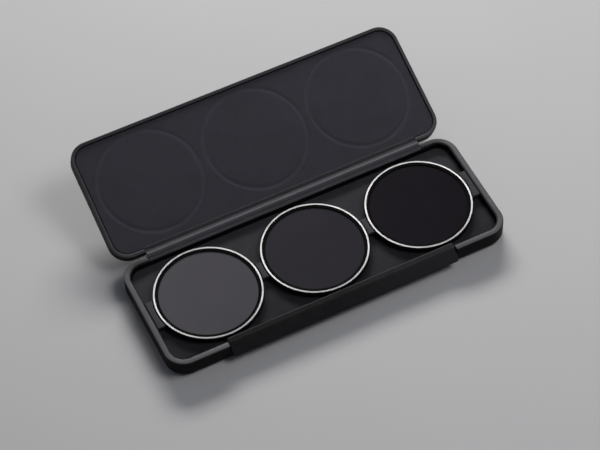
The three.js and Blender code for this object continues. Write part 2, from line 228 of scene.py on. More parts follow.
def arc(centre, radius, start, end, steps=5):
    """Points on an arc from start to end, in degrees."""
    angles = [math.radians(start + (end - start) * i / steps) for i in range(steps + 1)]
    return [(centre[0] + radius * math.cos(a), centre[1] + radius * math.sin(a)) for a in angles]


def rounded(half_x, half_y, radius, centre_y=0.0):
    """The outline of a rectangle with round corners, anticlockwise."""
    x, y = half_x - radius, half_y - radius
    corners = ((x, y), (-x, y), (-x, -y), (x, -y))
    points = []
    for quarter, (cx, cy) in enumerate(corners):
        start = 90 * quarter
        points += arc((cx, centre_y + cy), radius, start, start + 90, CORNER_STEPS)
    return points


def skin(rows, ring=False, tube=False, caps=False):
    """A surface through rows of points. ring joins each row's end to its start, tube joins the last
    row to the first, and caps closes the two open ends."""
    count = len(rows[0])
    points = [point for row in rows for point in row]
    across = count if ring else count - 1
    down = len(rows) if tube else len(rows) - 1
    faces = []
    for r in range(down):
        a, b = r * count, (r + 1) % len(rows) * count
        faces += [(a + i, a + (i + 1) % count, b + (i + 1) % count, b + i) for i in range(across)]
    if caps and ring:
        faces.append(tuple(range(count))[::-1])
        faces.append(tuple(range(len(points) - count, len(points))))
    if caps and tube:
        faces.append(tuple(r * count for r in range(len(rows))))
        faces.append(tuple(r * count + count - 1 for r in range(len(rows)))[::-1])
    return points, faces


def joined(*shapes):
    points, faces = [], []
    for some_points, some_faces in shapes:
        start = len(points)
        points += some_points
        faces += [tuple(start + i for i in face) for face in some_faces]
    return points, faces


def tub(half_x, half_y, corner, centre_y, profile):
    """An open box with round corners. The profile is (inset from the outside, z) pairs."""
    rows = []
    for inset, z in profile:
        outline = rounded(half_x - inset, half_y - inset, corner - inset, centre_y)
        rows.append([(x, y, z) for x, y in outline])
    return skin(rows, ring=True, caps=True)


def turned(profile, x, segments=RING_SEGMENTS, closed=True):
    """A solid of revolution about the vertical at x. Each profile entry is (radius, z), or a
    function that gives both from the angle."""
    rows = []
    for entry in profile:
        row = []
        for i in range(segments):
            a = 2 * math.pi * i / segments
            radius, z = entry(a) if callable(entry) else entry
            row.append((x + radius * math.cos(a), radius * math.sin(a), z))
        rows.append(row)
    return skin(rows, ring=True, tube=closed, caps=not closed)


def plate(outlines, low, high, edge):
    """A flat plate between two heights with rounded edges. The first outline is its outside and the
    others are holes."""
    curve = bpy.data.curves.new("plate", "CURVE")
    curve.dimensions = "2D"
    curve.fill_mode = "BOTH"
    curve.extrude = (high - low) / 2 - edge
    curve.bevel_depth = edge
    curve.bevel_resolution = 3
    curve.offset = -edge
    for outline in outlines:
        spline = curve.splines.new("POLY")
        spline.points.add(len(outline) - 1)
        for target, (x, y) in zip(spline.points, outline):
            target.co = (x, y, 0, 1)
        spline.use_cyclic_u = True
    carrier = link("plate", curve)
    mesh = carrier.to_mesh()
    middle = (low + high) / 2
    points = [(v.co.x, v.co.y, v.co.z + middle) for v in mesh.vertices]
    faces = [tuple(polygon.vertices) for polygon in mesh.polygons]
    carrier.to_mesh_clear()
    bpy.data.objects.remove(carrier)
    bpy.data.curves.remove(curve)
    return points, faces


def block(low, high):
    """A plain box, used only to cut with."""
    (x0, y0, z0), (x1, y1, z1) = low, high
    rows = [[(x0, y0, z), (x1, y0, z), (x1, y1, z), (x0, y1, z)] for z in (z0, z1)]
    return skin(rows, ring=True, caps=True)


def link(name, data):
    """A new object in the scene."""
    made = bpy.data.objects.new(name, data)
    bpy.context.scene.collection.objects.link(made)
    return made


def to_mesh(name, shape, turn=None):
    """A mesh in metres, with its faces turned outwards."""
    points, faces = shape
    mesh = bpy.data.meshes.new(name)
    mesh.from_pydata([Vector(point) * MM for point in points], [], faces)
    if turn:
        mesh.transform(turn)
    work = bmesh.new()
    work.from_mesh(mesh)
    bmesh.ops.remove_doubles(work, verts=work.verts, dist=WELD * MM)
    bmesh.ops.recalc_face_normals(work, faces=work.faces)
    work.to_mesh(mesh)
    work.free()
    return mesh


def piece(name, shape, look, stands_for, body=None, turn=None, cuts=()):
    """A named object made from a shape, in place of CAD nodes. It rides on the CAD body if one
    is given."""
    made = link(name, to_mesh(name, shape, turn))
    for cut in cuts:
        cut_away(made, cut, turn)
    made.data.polygons.foreach_set("use_smooth", [True] * len(made.data.polygons))
    made.data.set_sharp_from_angle(angle=SMOOTH)
    made.data.materials.append(look)
    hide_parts(*stands_for)
    if body:
        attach(made, body)
    return made


def cut_away(made, shape, turn):
    """Takes a shape out of a piece."""
    tool = link("cutter", to_mesh("cutter", shape, turn))
    modifier = made.modifiers.new("cut", "BOOLEAN")
    modifier.operation = "DIFFERENCE"
    modifier.solver = "EXACT"
    modifier.object = tool
    settled = made.evaluated_get(bpy.context.evaluated_depsgraph_get())
    result = bpy.data.meshes.new_from_object(settled)
    made.modifiers.clear()
    made.data = result
    bpy.data.objects.remove(tool)


def lay_uv(made, coordinate):
    """A UV map in metres from each rest-pose point, for cloth whose threads need a direction."""
    layer = made.data.uv_layers.new(name="UVMap")
    for loop in made.data.loops:
        layer.data[loop.index].uv = coordinate(made.data.vertices[loop.vertex_index].co)


def ease(t):
    t = min(1.0, max(0.0, t))
    return t * t * (3 - 2 * t)


def ripple(x, y, length, seed):
    """Gentle unevenness between about -1 and 1."""
    return noise.noise(Vector((x / length, y / length, seed)))


# ---- Materials -----------------------------------------------------------------------------------

EDGE_DOT = 0.78  # an edge counts as sharp where its softened normal turns away this far


class Look:
    """A material built from nodes around one Principled BSDF."""

    def __init__(self, name, colour, roughness, **inputs):
        self.material = bpy.data.materials.new(name)
        self.material.use_nodes = True
        self.tree = self.material.node_tree
        self.shader = self.tree.nodes["Principled BSDF"]
        self.shader.inputs["Base Color"].default_value = (*colour, 1)
        self.shader.inputs["Roughness"].default_value = roughness
        for key, value in inputs.items():
            self.shader.inputs[key.replace("_", " ")].default_value = value
        self.relief = None
        places = self.node("ShaderNodeTexCoord").outputs
        self.place, self.uv = places["Object"], places["UV"]
        self.share = places["Generated"]  # 0 to 1 across the object's box

    def node(self, kind, inputs=(), **settings):
        made = self.tree.nodes.new(kind)
        for key, value in settings.items():
            setattr(made, key, value)
        for key, value in dict(inputs).items():
            self.feed(made.inputs[key], value)
        return made

    def feed(self, socket, value):
        if isinstance(value, bpy.types.NodeSocket):
            self.tree.links.new(value, socket)
        else:
            socket.default_value = value

    def noise(self, size_mm, detail=3.0, roughness=0.55, where=None):
        """Noise from 0 to 1 whose features are about size_mm across."""
        inputs = {"Scale": 1 / (size_mm * MM), "Detail": detail, "Roughness": roughness}
        made = self.node("ShaderNodeTexNoise", inputs)
        self.feed(made.inputs["Vector"], where or self.place)
        return made.outputs["Fac"]

    def cells(self, size_mm, feature="DISTANCE_TO_EDGE"):
        """Voronoi cells about size_mm across."""
        inputs = {"Scale": 1 / (size_mm * MM), "Vector": self.place}
        return self.node("ShaderNodeTexVoronoi", inputs, feature=feature).outputs["Distance"]

    def axis(self, vector, name):
        return self.node("ShaderNodeSeparateXYZ", {"Vector": vector}).outputs[name]

    def span(self, value, low, high, to_low=0.0, to_high=1.0):
        """value taken from low..high to to_low..to_high, and held there."""
        inputs = {"Value": value, "From Min": low, "From Max": high}
        inputs.update({"To Min": to_low, "To Max": to_high})
        return self.node("ShaderNodeMapRange", inputs).outputs["Result"]

    def math(self, operation, a, b=0.0):
        return self.node("ShaderNodeMath", {0: a, 1: b}, operation=operation).outputs["Value"]

    def total(self, *terms):
        """The sum of the terms. A term is a value, or a value and its weight."""
        result = None
        for term in terms:
            part = self.math("MULTIPLY", *term) if isinstance(term, tuple) else term
            result = part if result is None else self.math("ADD", result, part)
        return result

    def tone(self, factor, dark, light):
        """The base colour, between two colours."""
        made = self.node("ShaderNodeMix", data_type="RGBA")
        for key, value in {"Factor": factor, "A": (*dark, 1), "B": (*light, 1)}.items():
            self.feed(made.inputs[key], value)
        self.feed(self.shader.inputs["Base Color"], made.outputs["Result"])

    def rough(self, factor, low, high):
        self.feed(self.shader.inputs["Roughness"], self.span(factor, 0, 1, low, high))

    def bump(self, height, depth_mm, strength):
        """Adds relief of depth_mm, on top of any relief so far."""
        inputs = {"Height": height, "Distance": depth_mm * MM, "Strength": strength}
        if self.relief:
            inputs["Normal"] = self.relief
        self.relief = self.node("ShaderNodeBump", inputs).outputs["Normal"]
        self.feed(self.shader.inputs["Normal"], self.relief)

    def edges(self, radius_mm):
        """0 on flat ground and up to 1 on sharp edges, for wear."""
        soft = self.node("ShaderNodeBevel", {"Radius": radius_mm * MM}, samples=4).outputs["Normal"]
        true = self.node("ShaderNodeNewGeometry").outputs["Normal"]
        dot = self.node("ShaderNodeVectorMath", {0: soft, 1: true}, operation="DOT_PRODUCT")
        return self.span(dot.outputs["Value"], 1.0, EDGE_DOT)

    def worn(self, radius_mm, patches, low, high):
        """Sharp edges, worn where the noise of the patches is high."""
        return self.math("MULTIPLY", self.edges(radius_mm), self.span(patches, low, high))


def grey(value, warm=0.0):
    """A near-grey colour. Positive warm leans to red and negative to blue."""
    return value * (1 + warm), value, value * (1 - warm)


def shell_look():
    """Moulded polymer with a fine spark-eroded texture, paler where its edges are worn."""
    look = Look("case_shell", grey(0.010), 0.5, Specular_IOR_Level=0.1)
    look.tone(look.worn(0.5, look.noise(3.5, 4), 0.42, 0.62), (0.0048, 0.0047, 0.0054), grey(0.045))
    look.rough(look.noise(28), 0.42, 0.62)
    look.bump(look.noise(0.35, 4), 0.045, 0.7)
    return look.material


def lid_rim_look():
    """The lid's rim: the same polymer, paler than the shell and mottled, with painted shade
    darkening it towards its far edge.
    """
    look = Look("lid_rim", grey(0.02), 0.45, Specular_IOR_Level=0.15)
    far = (LID_OPENED @ Vector((0, LID_LOW.y * MM, LID_LOW.z * MM))).y
    # painted shade: the rim darkens over the last few millimetres towards its far edge
    painted_far_shade = look.span(look.axis(look.place, "Y"), far - 6 * MM, far - 2 * MM, 0.0, -0.5)
    painted_light_tone = look.total((look.noise(7, 4), 0.8), (look.edges(0.4), 0.3), painted_far_shade)
    look.tone(painted_light_tone, (0.033, 0.0325, 0.0355), (0.072, 0.071, 0.077))
    look.bump(look.noise(0.35, 4), 0.03, 0.6)
    return look.material


def trim_look():
    """Satin polymer band, mottled and worn at its edges, with painted shade darkening it towards
    the back beside the hinge.
    """
    look = Look("rim_band", grey(0.07), 0.42, Specular_IOR_Level=0.2)
    worn = look.worn(0.35, look.noise(2.2, 4), 0.4, 0.65)
    mottled = look.total((look.noise(5, 5, 0.65), 0.4), (look.noise(0.9), 0.18), worn, 0.2)
    # painted shade: the band darkens towards the back wall beside the hinge; its mottle and edge
    # wear are its own
    painted_shade_from, painted_shade_to = (SHELL_HIGH.y - 7) * MM, (SHELL_HIGH.y - 1.5) * MM
    painted_back_shade = look.span(look.axis(look.place, "Y"), painted_shade_to, painted_shade_from, 0.03, 1.0)
    mottle_and_painted_light = look.math("MULTIPLY", mottled, painted_back_shade)
    look.tone(mottle_and_painted_light, (0.008, 0.0078, 0.009), (0.116, 0.114, 0.121))
    look.rough(look.noise(11), 0.34, 0.55)
    look.bump(look.noise(0.28), 0.02, 0.6)
    return look.material


def foam_look():
    """Closed-cell foam: a fine open skin with specks of dust, with painted light making the posts'
    tops paler and painted shade darkening it towards the front."""
    look = Look("tray_foam", grey(0.03), 0.85, Specular_IOR_Level=0.05)
    cell = look.span(look.cells(0.5), 0.0, 0.15)
    speck = look.span(look.cells(5.5, "F1"), 0.05, 0.035)
    # painted light: the posts' tops are paler than the deck, mottled, and the foam is paler towards
    # the back
    post = look.span(look.axis(look.place, "Z"), (DECK_Z + 2) * MM, TRAY_HIGH.z * MM)
    mottled_painted_post_light = look.math("MULTIPLY", post, look.span(look.noise(3.2, 2), 0.3, 0.7, 0.25, 0.75))
    painted_back_light = look.span(look.axis(look.place, "Y"), TRAY_LOW.y * MM, TRAY_HIGH.y * MM)
    grain = look.total(look.noise(0.8, 4, 0.7), cell)
    tint = look.total((look.noise(14, 4), 0.42), (grain, 0.16), (speck, 0.5), (painted_back_light, 0.46), -0.19,
                      mottled_painted_post_light)
    look.tone(tint, (0.0118, 0.0116, 0.0132), (0.055, 0.054, 0.0605))
    look.bump(cell, 0.09, 0.8)
    look.bump(look.noise(2.6), 0.14, 0.4)
    return look.material


def felt_look():
    """Matted felt fibres."""
    look = Look("felt", grey(0.016), 0.95, Specular_IOR_Level=0.1,
                Sheen_Weight=0.3, Sheen_Roughness=0.5)
    fibres = look.noise(0.5, 6, 0.75)
    look.tone(fibres, grey(0.010), grey(0.03))
    look.bump(fibres, 0.12, 0.8)
    return look.material


def lining_look():
    """Short-napped microfibre, brushed unevenly, paler where the filters have pressed it."""
    look = Look("lining_fabric", grey(0.04), 0.9, Specular_IOR_Level=0.12,
                Sheen_Weight=0.22, Sheen_Roughness=0.45)
    look.feed(look.shader.inputs["Sheen Tint"], (0.86, 0.82, 1.0, 1))
    stretch = look.node("ShaderNodeMapping", {"Vector": look.uv, "Scale": (1.0, 0.3, 1.0)})
    nap = look.noise(18, 4, 0.6, look.uv)
    brushed = look.noise(1.6, 4, 0.65, stretch.outputs["Vector"])
    fibre = look.noise(0.42, 5, 0.75, look.uv)
    shade = look.total((nap, 0.42), (fibre, 0.42), (brushed, 0.3), -0.14, (press_marks(look), 0.2))
    look.tone(shade, (0.0235, 0.0228, 0.0285), (0.066, 0.064, 0.077))
    look.rough(nap, 0.82, 0.98)
    look.bump(fibre, 0.12, 0.8)
    look.bump(brushed, 0.16, 0.35)
    look.bump(nap, 0.3, 0.2)
    return look.material


def press_marks(look):
    """1 on the round marks of the filters, fading to 0 on both sides, from the UV map."""
    most = 0.0
    for x in FILTER_X.values():
        inputs = {0: look.uv, 1: (x * MM, 0, 0)}
        away = look.node("ShaderNodeVectorMath", inputs, operation="DISTANCE").outputs["Value"]
        off = look.math("ABSOLUTE", look.total(away, -MARK_RADIUS * MM))
        most = look.math("MAXIMUM", most, look.span(off, MARK_WIDTH * MM, 0.0))
    return most


def weave(look, pitch_mm):
    """How high the top thread of a plain weave lies, from 0 to 1, by the UV map."""
    frequency = math.pi / (pitch_mm * MM)
    turns = [look.math("MULTIPLY", look.axis(look.uv, axis), frequency) for axis in "XY"]
    waves = [look.math("SINE", turn) for turn in turns]
    warp, weft = (look.math("ABSOLUTE", wave) for wave in waves)
    warp_on_top = look.math("GREATER_THAN", look.math("MULTIPLY", *waves), 0.0)
    weft_on_top = look.math("SUBTRACT", 1.0, warp_on_top)
    return look.math("MAXIMUM", look.math("MULTIPLY", warp, warp_on_top),
                     look.math("MULTIPLY", weft, weft_on_top))


def strap_look():
    """Fine woven tape with a painted highlight on the front of its bead and painted shade behind
    it.
    """
    look = Look("strap_fabric", grey(0.03), 0.6, Specular_IOR_Level=0.08, Sheen_Weight=0.04)
    high = weave(look, 0.55)
    uneven = look.noise(9, 4, 0.6, look.uv)
    across = look.axis(look.uv, "Y")
    # painted highlight on the front of the bead's crown, and painted shade on the lid's side of the
    # hinge
    off_crown = look.math("ABSOLUTE", look.total(across, (BEAD_HIGHLIGHT_FRONT - HINGE.y) * MM))
    painted_light_tone = look.span(off_crown, BEAD_HIGHLIGHT_HALF * MM, BEAD_HIGHLIGHT_HALF * 0.45 * MM)
    painted_lid_side_shade = look.span(across, (HINGE.y - 0.7) * MM, (HINGE.y + 1.1) * MM, 0.03, -0.12)
    tint = look.total((look.total(high, uneven), 0.22), painted_lid_side_shade, (painted_light_tone, 0.62))
    look.tone(tint, (0.0085, 0.0082, 0.0105), (0.112, 0.109, 0.122))
    look.rough(uneven, 0.5, 0.7)
    look.bump(high, 0.06, 0.7)
    return look.material


def leather_look():
    """Pebbled leatherette with fine creases, with painted light paler towards its right end."""
    look = Look("leatherette", grey(0.01), 0.5, Specular_IOR_Level=0.06)
    pebble = look.span(look.cells(0.95), 0.0, 0.22)
    # painted light: paler from the middle towards the right end
    painted_light_tone = look.span(look.axis(look.place, "X"), 0.0, FOLD_HIGH.x * MM, 0.0, 0.75)
    tint = look.total((pebble, 0.5), (look.noise(9, 4), 0.5), painted_light_tone)
    look.tone(tint, (0.0075, 0.0073, 0.0078), (0.027, 0.0262, 0.0275))
    look.rough(look.noise(6), 0.42, 0.6)
    look.bump(pebble, 0.07, 0.75)
    look.bump(look.noise(0.32, 4), 0.02, 0.5)
    return look.material


def anodised_look():
    """Black anodised aluminium, turned, with a faint matt bloom."""
    look = Look("ring_black", grey(0.01), 0.42, Metallic=0.25, Specular_IOR_Level=0.35)
    look.tone(look.worn(0.2, look.noise(1.3), 0.5, 0.65), grey(0.007, -0.02), grey(0.12))
    look.rough(look.noise(6, 4), 0.34, 0.52)
    look.bump(look.noise(0.12, 2), 0.006, 0.5)
    return look.material


def bright_look():
    """Bare aluminium where the ring's edge was cut after anodising, with fine turning lines. A
    painted highlight makes it brighter at its left and right, and darker at the front and back."""
    look = Look("ring_bright", grey(0.75), 0.3, Metallic=1.0)
    # painted highlight: brighter towards the ring's left and right, darker at its front and back
    off_middle = look.math("ABSOLUTE", look.total((look.axis(look.share, "X"), 2.0), -1.0))
    held = look.math("POWER", off_middle, 2.0)
    mottle_and_painted_light = look.total((held, 0.75), (look.noise(7, 4), 0.3))
    look.tone(mottle_and_painted_light, grey(0.41, -0.01), grey(0.9, 0.01))
    look.rough(look.noise(4, 4), 0.26, 0.42)
    look.bump(look.noise(0.09, 2), 0.004, 0.5)
    return look.material


def retainer_look():
    """Matt black, as on every surface of a filter that could throw stray light on its glass."""
    look = Look("retainer_black", grey(0.003), 0.7, Specular_IOR_Level=0.02)
    look.tone(look.noise(2, 4), grey(0.002), grey(0.0045))
    look.rough(look.noise(3, 4), 0.6, 0.85)
    look.bump(look.noise(0.15, 2), 0.008, 0.5)
    return look.material


def glass_look(name, colour, through):
    """Polished tinted glass, with a trace of a coating's colour, a few motes of dust and a painted
    reflection that makes it paler towards the left and the back.
    """
    look = Look(name, colour, 0.03, IOR=1.52, Transmission_Weight=through,
                Coat_Weight=0.1, Coat_IOR=1.38)
    look.feed(look.shader.inputs["Coat Tint"], (0.93, 0.9, 1.0, 1))
    mote = look.span(look.cells(7.5, "F1"), 0.022, 0.014)
    haze = look.noise(26)
    # painted reflection: paler towards the left and the back
    painted_reflection_x = look.span(look.axis(look.share, "X"), 0, 1, 0.06, -0.03)
    painted_reflection_y = look.span(look.axis(look.share, "Y"), 0, 1, -0.035, 0.025)
    dust_and_painted_reflection = look.total(painted_reflection_x, painted_reflection_y, look.total(mote, (haze, 0.17)))
    look.tone(dust_and_painted_reflection, colour, tuple(min(1.0, c * 1.9 + 0.02) for c in colour))
    look.rough(look.total(mote, (haze, 0.12)), 0.02, 0.4)
    return look.material


def board_look():
    """Grey fibreboard with flecks."""
    look = Look("stiffener", (0.1, 0.09, 0.075), 0.85)
    look.tone(look.noise(0.8, 5), (0.07, 0.062, 0.05), (0.15, 0.135, 0.11))
    look.bump(look.noise(0.4, 4), 0.04, 0.6)
    return look.material


def magnet_look():
    """Nickel plate with fine scratches."""
    look = Look("magnet", grey(0.55), 0.25, Metallic=1.0)
    look.rough(look.noise(2, 5), 0.18, 0.4)
    look.bump(look.noise(0.2), 0.005, 0.5)
    return look.material


SHELL = shell_look()
LID_RIM = lid_rim_look()
TRIM = trim_look()
TRAY = foam_look()
FELT = felt_look()
LINING = lining_look()
STRAP = strap_look()
LEATHER = leather_look()
ANODISED = anodised_look()
BRIGHT = bright_look()
RETAINER = retainer_look()
BOARD = board_look()
MAGNET = magnet_look()
GLASS = {
    1: glass_look("glass_light", (0.066, 0.063, 0.068), 0.12),
    2: glass_look("glass_mid", (0.020, 0.018, 0.021), 0.06),
    3: glass_look("glass_dark", (0.0034, 0.0018, 0.003), 0.02),
}

# ---- Base ----------------------------------------------------------------------------------------

def base_shell():
    top = SHELL_HIGH.z
    profile = [(BOTTOM_ROUND + BOTTOM_FLAT, 0)]
    profile += arc((BOTTOM_ROUND, BOTTOM_ROUND), BOTTOM_ROUND, 270, 180, 10)
    profile += arc((WALL_EDGE, top - WALL_EDGE), WALL_EDGE, 180, 90)
    profile += arc((WALL - WALL_EDGE, top - WALL_EDGE), WALL_EDGE, 90, 0)
    profile += arc((WALL + FLOOR_FILLET, FLOOR + FLOOR_FILLET), FLOOR_FILLET, 180, 270)
    shape = tub(SHELL_HIGH.x, SHELL_HIGH.y, CASE_CORNER, 0, profile)
    piece("base_shell_moulding", shape, SHELL, ["base_shell"], "base", cuts=[flap_ledge()])


def flap_ledge():
    """What is cut from the front wall for the open flap: a step with a sloping floor."""
    below = FLAP_HINGE.y - FLAP_LOW.y + LEDGE_CLEARANCE
    back = SHELL_LOW.y + WALL - LEDGE_BACK
    front = SHELL_LOW.y - WALL
    middle = FLAP_HINGE.z - below / math.cos(DROOP)
    floor_back = middle + (back - FLAP_HINGE.y) * math.tan(DROOP)
    floor_front = middle + (front - FLAP_HINGE.y) * math.tan(DROOP)
    top = 2 * RIM_Z
    half = FOLD_HIGH.x + LEDGE_END_GAP
    section = [(back, floor_back), (back, top), (front, top), (front, floor_front)]
    rows = [[(-half, y, z), (half, y, z)] for y, z in section]
    return skin(rows, tube=True, caps=True)


def rim_trim(side):
    """The band on the wall, from the flap's end round the side of the case to the strap's end."""
    name = "left" if side < 0 else "right"
    step_z = RIM_Z - TRIM_STEP_DROP
    shoulder = WALL - TRIM_STEP_WIDTH
    section = [(0.0, TRIM_LOW.z)]
    section += arc((TRIM_ROUND_OUT, RIM_Z - TRIM_ROUND_OUT), TRIM_ROUND_OUT, 180, 90, 7)
    section += arc((shoulder - TRIM_ROUND_IN, RIM_Z - TRIM_ROUND_IN), TRIM_ROUND_IN, 90, 0, 4)
    section += [(shoulder, step_z), (WALL - TRIM_STEP_CHAMFER, step_z)]
    section += [(WALL, step_z - TRIM_STEP_CHAMFER), (WALL, TRIM_LOW.z)]
    stations = trim_stations(*trim_ends(name))
    rows = []
    for inset, z in section:
        row = []
        for place, pull in stations:
            x, y = place(inset + (WALL / 2 - inset) * pull / WALL * 2)
            row.append((side * x, y, z - (z - TRIM_LOW.z) * pull * 0.5))
        rows.append(row)
    band = skin(rows, tube=True, caps=True)
    made = piece(f"rim_band_{name}", band, TRIM, [f"rim_trim_{name}"], "base")
    made.data.materials.append(SHELL)
    for polygon in made.data.polygons:  # the step and the band's side are as dark as the shell
        polygon.material_index = int(polygon.center.z < (step_z + 0.03) * MM)


def trim_stations(front_end, back_end):
    """Places along the band. Each is a function that gives (x, y) from the inset, and how far the
    section is pulled in there."""
    half_y = SHELL_HIGH.y
    corner_x, corner_y = SHELL_HIGH.x - CASE_CORNER, half_y - CASE_CORNER
    stations = []
    for distance, pull in TRIM_ENDS:
        stations.append((lambda i, x=front_end + distance: (x, -half_y + i), pull))
    for centre_y, first in ((-corner_y, 270), (corner_y, 0)):
        for angle in range(first, first + 91, TRIM_TURN):
            stations.append((lambda i, a=angle, y=centre_y: corner(i, a, corner_x, y), 0.0))
    for distance, pull in reversed(TRIM_ENDS):
        stations.append((lambda i, x=back_end + distance: (x, half_y - i), pull))
    return stations


def trim_ends(name):
    """How far from the middle the band ends at the front and at the back."""
    points = [vertex.co / MM for vertex in frame["nodes"][f"rim_trim_{name}"].data.vertices]
    front = min(abs(point.x) for point in points if point.y < 0)
    back = min(abs(point.x) for point in points if point.y > 0)
    return front, back


def corner(inset, degrees, centre_x, centre_y):
    a = math.radians(degrees)
    radius = CASE_CORNER - inset
    return centre_x + radius * math.cos(a), centre_y + radius * math.sin(a)


def circle(x, radius):
    return arc((x, 0), radius, 0, 360 - 360 / POCKET_SEGMENTS, POCKET_SEGMENTS - 1)


def hollow_side(x, half, direction):
    """The round side of a post, along the circle about the filter at x."""
    ys = [half * (2 * i / POST_STEPS - 1) for i in range(POST_STEPS + 1)]
    return [(x + direction * math.sqrt(POST_RADIUS ** 2 - y ** 2), y) for y in ys]


def tray():
    """The deck with its three round pockets, and the posts that stand between and beside them."""
    half_x, half_y = TRAY_HIGH.x, TRAY_HIGH.y
    centres = list(FILTER_X.values())
    holes = [circle(x, POCKET_RADIUS)[::-1] for x in centres]
    parts = [plate([rounded(half_x, half_y, TRAY_CORNER), *holes], TRAY_LOW.z, DECK_Z, DECK_EDGE)]
    for x in centres:
        floor = circle(x, POCKET_RADIUS + POCKET_OVERLAP)
        parts.append(plate([floor], TRAY_LOW.z, POCKET_FLOOR, POCKET_FLOOR_EDGE))
    posts = [hollow_side(right, POST_HALF, -1) + hollow_side(left, POST_HALF, 1)[::-1]
             for left, right in zip(centres, centres[1:])]
    for side in (-1, 1):
        post = hollow_side(side * centres[-1], END_POST_HALF, side)
        post += [(side * half_x, END_POST_HALF), (side * half_x, -END_POST_HALF)]
        posts.append(post if side < 0 else post[::-1])
    parts += [plate([post], DECK_Z - POST_FOOT, TRAY_HIGH.z, POST_EDGE) for post in posts]
    piece("tray_foam_insert", joined(*parts), TRAY, ["tray_insert"], "base")


def pocket_pads():
    for number, x in FILTER_X.items():
        low, high = box(f"pocket_pad_{number}")
        radius = (high.x - low.x) / 2
        profile = [(radius - PAD_EDGE, low.z), (radius, low.z + 0.15), (radius, high.z - PAD_EDGE)]
        profile += [(radius - PAD_EDGE, high.z - 0.05)]
        profile += [(radius * share, high.z - PAD_CROWN * share) for share in (0.9, 0.6, 0.3, 0.02)]
        pad = turned(profile, x, PAD_SEGMENTS, closed=False)
        piece(f"felt_pad_{number}", pad, FELT, [f"pocket_pad_{number}"], "base")


# ---- Lid, made closed and turned open ------------------------------------------------------------

def lid_shell():
    centre_y, half_y = middle_and_half(LID_LOW.y, LID_HIGH.y)
    top, rim = LID_HIGH.z, LID_LOW.z
    profile = [(LID_ROUND + LID_FLAT, top)]
    profile += arc((LID_ROUND, top - LID_ROUND), LID_ROUND, 90, 180, 10)
    profile += arc((LID_EDGE, rim + LID_EDGE), LID_EDGE, 180, 270)
    profile += arc((LID_WALL - LID_EDGE, rim + LID_EDGE), LID_EDGE, 270, 360)
    profile += [(LID_WALL, top - LID_TOP)]
    shape = tub(LID_HIGH.x, half_y, LID_CORNER, centre_y, profile)
    gap = STRAP_RECESS_GAP
    recess = block(
        (LEAF_LOW.x - gap, LEAF_LOW.y - gap, rim - 1),
        (LEAF_HIGH.x + gap, LEAF_HIGH.y + WALL, LEAF_HIGH.z + gap),
    )
    made = piece("lid_shell_moulding", shape, SHELL, ["lid_shell"], "lid", LID_OPENED, [recess])
    made.data.materials.append(LID_RIM)
    back = LID_OPENED.inverted()
    for polygon in made.data.polygons:
        polygon.material_index = int((back @ polygon.center).z < (rim + LID_EDGE) * MM)


def middle_and_half(low, high):
    return (low + high) / 2, (high - low) / 2


def crown_heights():
    """Cloth simulation of the padded sheet: a sheet held at its border and pushed out by the
    padding. Returns its height from 0 to 1 at each crossing of an even grid."""
    across, down = CROWN_CELLS
    half_x, half_y = LINING_HIGH.x, middle_and_half(LINING_LOW.y, LINING_HIGH.y)[1]
    unit = CLOTH_SIZE / (2 * half_x)
    rows = []
    for j in range(down + 1):
        y = half_y * (2 * j / down - 1)
        xs = [half_x * (2 * i / across - 1) for i in range(across + 1)]
        rows.append([(x * unit, y * unit, 0) for x in xs])
    points, faces = skin(rows)
    mesh = bpy.data.meshes.new("sheet")
    mesh.from_pydata(points, [], faces)
    sheet = link("sheet", mesh)
    held = sheet.vertex_groups.new(name="held")
    border = [j * (across + 1) + i for j in range(down + 1) for i in range(across + 1)
              if i in (0, across) or j in (0, down)]
    held.add(border, 1.0, "REPLACE")
    cloth = sheet.modifiers.new("cloth", "CLOTH")
    for key, value in CLOTH.items():
        setattr(cloth.settings, key, value)
    cloth.settings.vertex_group_mass = held.name
    cloth.settings.effector_weights.gravity = 0
    cloth.collision_settings.use_collision = False
    cloth.point_cache.frame_start = 1
    cloth.point_cache.frame_end = CLOTH_FRAMES
    scene = bpy.context.scene
    for step in range(1, CLOTH_FRAMES + 1):
        scene.frame_set(step)
    settled = sheet.evaluated_get(bpy.context.evaluated_depsgraph_get()).to_mesh()
    heights = [abs(vertex.co.z) for vertex in settled.vertices]
    bpy.data.objects.remove(sheet)
    scene.frame_set(1)
    most = max(max(heights), 1e-6)
    return [height / most for height in heights]


def crown_at(heights, x, y):
    """The simulated height at a place on the sheet, between its grid's crossings."""
    across, down = CROWN_CELLS
    half_y = middle_and_half(LINING_LOW.y, LINING_HIGH.y)[1]
    u = min(max((x / LINING_HIGH.x + 1) / 2, 0), 1) * across
    v = min(max((y / half_y + 1) / 2, 0), 1) * down
    i, j = min(int(u), across - 1), min(int(v), down - 1)
    fu, fv = ease(u - i), ease(v - j)

    def along(row):
        first = row * (across + 1) + i
        return heights[first] * (1 - fu) + heights[first + 1] * fu

    return along(j) * (1 - fv) + along(j + 1) * fv


def spaced(half, step, end_steps):
    """Places from -half to half, close together near the two ends."""
    ends = [half - end_step for end_step in end_steps]
    count = round(2 * ends[-1] / step)
    inner = [-ends[-1] + 2 * ends[-1] * i / count for i in range(1, count)]
    return [-end for end in ends] + inner + ends[::-1]


def round_corner(x, y, half_x, half_y, radius):
    """Takes a point of a square-cornered rectangle to the round-cornered one."""
    s = (abs(x) - (half_x - radius)) / radius
    t = (abs(y) - (half_y - radius)) / radius
    if s <= 0 or t <= 0:
        return x, y
    x_out = half_x - radius + radius * s * math.sqrt(1 - t * t / 2)
    y_out = half_y - radius + radius * t * math.sqrt(1 - s * s / 2)
    return math.copysign(x_out, x), math.copysign(y_out, y)


def inside_by(x, y, half_x, half_y, radius):
    """How far a point lies inside the round-cornered outline."""
    dx = abs(x) - (half_x - radius)
    dy = abs(y) - (half_y - radius)
    outside = math.hypot(max(dx, 0), max(dy, 0)) + min(max(dx, dy), 0)
    return radius - outside


